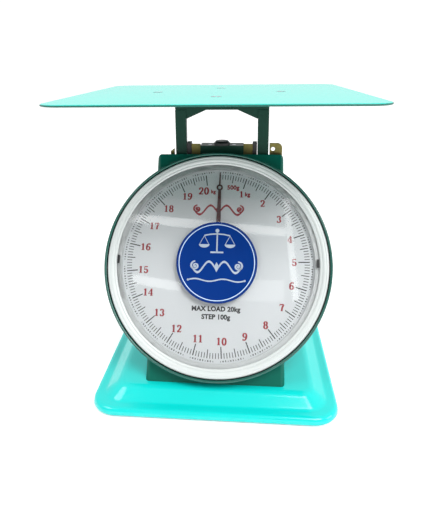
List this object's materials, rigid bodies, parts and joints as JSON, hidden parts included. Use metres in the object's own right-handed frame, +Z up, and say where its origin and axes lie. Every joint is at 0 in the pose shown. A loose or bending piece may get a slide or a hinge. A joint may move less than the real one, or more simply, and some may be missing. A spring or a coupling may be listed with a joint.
{
  "type": "mechanical dial platform scale",
  "caption": "Spring dial weighing scale: square platform on a yoke, leaning wedge body with a large round dial and pointer, on a stepped base.",
  "frame": {"origin": "on the surface that the scale stands on, under the middle of the platform", "axes": "front is -Y, where the dial faces; up is +Z; +X is to the right of a person who reads the dial"},
  "size_m": [0.2564, 0.2564, 0.2676],
  "materials": {
    "enamel": "glossy turquoise stove enamel",
    "platform_enamel": "glossy pale turquoise stove enamel",
    "dark_enamel": "dark teal enamel",
    "rubber": "black moulded rubber",
    "screw_steel": "zinc plated steel",
    "yellow_zinc": "yellow passivated zinc plate",
    "black_plastic": "black acetal",
    "brass": "plain brass",
    "spring_steel": "oiled spring steel",
    "dial_white": "white enamel with printed graduations",
    "bezel_white": "white moulded plastic",
    "spacer_grey": "pale grey plastic",
    "glass": "clear glass",
    "disc_blue": "blue gloss disc with pale ornament",
    "pointer_paint": "dark maroon lacquer"
  },
  "bodies": {
    "housing": {"base_pan": "enamel", "bottom_plate": "screw_steel", "rubber_feet": "rubber", "foot_screws": "screw_steel", "front_panel": "dark_enamel", "side_panel_left": "dark_enamel", "side_panel_right": "dark_enamel", "rear_cover": "dark_enamel", "panel_screws": "screw_steel", "cover_screws": "screw_steel", "frame_left": "yellow_zinc", "frame_right": "yellow_zinc", "frame_screws": "screw_steel", "frame_spacers": "screw_steel", "spring_beam": "dark_enamel", "spring_hangers": "screw_steel", "beam_screws": "screw_steel", "post_guides": "black_plastic", "guide_bracket": "yellow_zinc", "transit_bracket": "yellow_zinc", "overload_buffers": "rubber", "dial_drum": "dark_enamel", "drum_screws": "screw_steel", "dial_face": "dial_white", "face_screws": "screw_steel", "lens_spacer": "spacer_grey", "lens": "glass", "lens_clips": "black_plastic", "bezel_ring": "bezel_white", "centre_disc": "disc_blue", "disc_rivet": "screw_steel", "movement_front_plate": "brass", "movement_rear_plate": "brass", "movement_pillars": "screw_steel", "arbor_bushes": "brass", "rack_guide": "brass", "spring_left": "spring_steel", "spring_right": "spring_steel", "spring_upper_loops": "spring_steel"},
    "load_column": {"platform": "platform_enamel", "platform_screws": "screw_steel", "platform_spider": "dark_enamel", "yoke_head": "dark_enamel", "post_left": "dark_enamel", "post_right": "dark_enamel", "tie_bar": "screw_steel", "drive_arm": "screw_steel", "tie_screws": "screw_steel", "spring_anchors": "screw_steel", "link_studs": "screw_steel", "spring_lower_loops": "spring_steel"},
    "pointer_work": {"arbor": "screw_steel", "pinion": "brass", "pointer_hub": "black_plastic", "pointer": "pointer_paint"},
    "rack_slider": {"rack": "brass", "rack_pin": "screw_steel"},
    "upper_link_swing": {"upper_link": "yellow_zinc"},
    "lower_link_swing": {"lower_link": "yellow_zinc"},
    "zero_setting": {"zero_knob": "black_plastic"}
  },
  "joints": [
    {"name": "load_slide", "type": "slide", "parent": "housing", "child": "load_column", "axis": [0, 0, -1], "range_m": [0, 0.01607], "stiffness_N_per_m": 12210, "springref_m": -0.0013, "deforming": ["spring_left", "spring_right"]},
    {"name": "pointer_spin", "type": "hinge", "parent": "housing", "child": "pointer_work", "pos_m": [0, -0.0382, 0.1127], "axis": [0, 0.8771, -0.4802], "range_deg": [0, 350.5]},
    {"name": "rack_travel", "type": "slide", "parent": "housing", "child": "rack_slider", "axis": [0, -0.4802, -0.8771], "range_m": [0, 0.01834]},
    {"name": "upper_link_hinge", "type": "hinge", "parent": "housing", "child": "upper_link_swing", "pos_m": [0.0015, 0.084, 0.158], "axis": [1, 0, 0], "range_deg": [0, 15.41]},
    {"name": "lower_link_hinge", "type": "hinge", "parent": "housing", "child": "lower_link_swing", "pos_m": [0.0015, 0.084, 0.092], "axis": [1, 0, 0], "range_deg": [0, 15.41]},
    {"name": "zero_turn", "type": "hinge", "parent": "housing", "child": "zero_setting", "pos_m": [0.0015, 0.024, 0.217], "axis": [0, 0, 1], "range_deg": [-180, 180]}
  ],
  "couplings": [
    {"joint": "pointer_spin", "follows": "load_slide", "rad_per_m": 380.02},
    {"joint": "rack_travel", "follows": "load_slide", "ratio": 1.1401},
    {"joint": "upper_link_hinge", "follows": "load_slide", "rad_per_m": 16.717},
    {"joint": "lower_link_hinge", "follows": "load_slide", "rad_per_m": 16.717}
  ]
}
